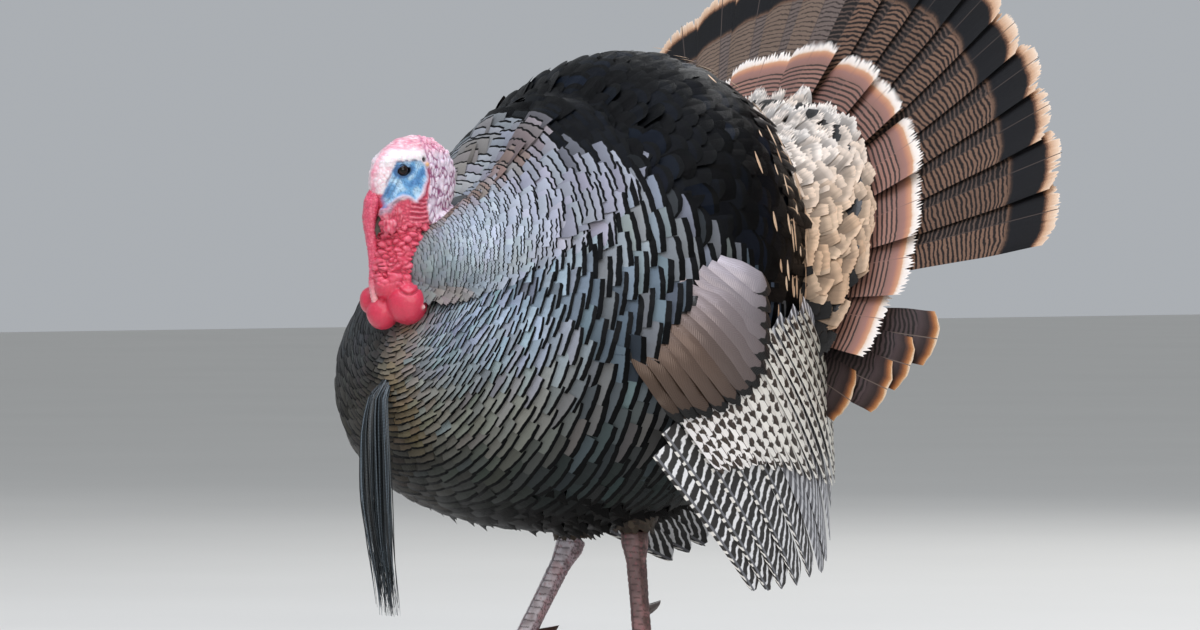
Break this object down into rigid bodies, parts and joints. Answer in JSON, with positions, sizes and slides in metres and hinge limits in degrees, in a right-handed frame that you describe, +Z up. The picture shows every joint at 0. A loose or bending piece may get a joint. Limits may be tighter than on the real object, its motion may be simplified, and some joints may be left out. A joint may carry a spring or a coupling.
{
  "type": "wild turkey",
  "caption": "Life-size still wild turkey tom in full strut, tail fanned and wings dropped, standing on both feet.",
  "frame": {"origin": "on the floor, under the middle of the bird's bounding box", "axes": "+Z up, the bird faces -Y, its left side is at +X"},
  "size_m": [0.7758, 0.6238, 0.7241],
  "materials": {
    "breast_plumage": "glossy scaled feathers, dark with a silver-blue and bronze sheen",
    "neck_plumage": "small silver-lilac feathers with black edges",
    "rump_plumage": "soft cream-buff and brown coverts",
    "tail_plumage": "finely barred brown quills with a dark band and buff tips",
    "wing_plumage": "barred grey-white and black quills under glossy bronze coverts",
    "thigh_plumage": "short dull brown feathers",
    "crown_skin": "bare white, pink and sky-blue skin, warty and creased",
    "wattle_skin": "bare coral-red skin, moist and nodular",
    "bill_horn": "satin olive-grey horn",
    "eye": "polished dark brown",
    "beard_bristle": "coarse black bristles",
    "leg_scute": "satin pinkish-brown scales",
    "claw_horn": "satin dark horn"
  },
  "bodies": {
    "root": {"trunk": "breast_plumage", "neck": "neck_plumage", "head": "crown_skin", "ear_left": "crown_skin", "ear_right": "crown_skin", "eye_left": "eye", "eye_right": "eye", "upper_bill": "bill_horn", "lower_bill": "bill_horn", "snood": "wattle_skin", "throat": "wattle_skin", "caruncles": "wattle_skin", "beard": "beard_bristle", "wing_left": "wing_plumage", "wing_right": "wing_plumage", "wing_quills_left": "wing_plumage", "wing_quills_right": "wing_plumage", "rump": "rump_plumage", "tail_coverts": "rump_plumage", "tail_fan": "tail_plumage", "undertail_coverts": "tail_plumage", "thigh_left": "thigh_plumage", "thigh_right": "thigh_plumage", "shank_left": "leg_scute", "shank_right": "leg_scute", "spur_left": "claw_horn", "spur_right": "claw_horn", "middle_toe_left": "leg_scute", "inner_toe_left": "leg_scute", "outer_toe_left": "leg_scute", "hind_toe_left": "leg_scute", "middle_toe_right": "leg_scute", "inner_toe_right": "leg_scute", "outer_toe_right": "leg_scute", "hind_toe_right": "leg_scute", "middle_claw_left": "claw_horn", "inner_claw_left": "claw_horn", "outer_claw_left": "claw_horn", "hind_claw_left": "claw_horn", "middle_claw_right": "claw_horn", "inner_claw_right": "claw_horn", "outer_claw_right": "claw_horn", "hind_claw_right": "claw_horn"}
  },
  "joints": []
}
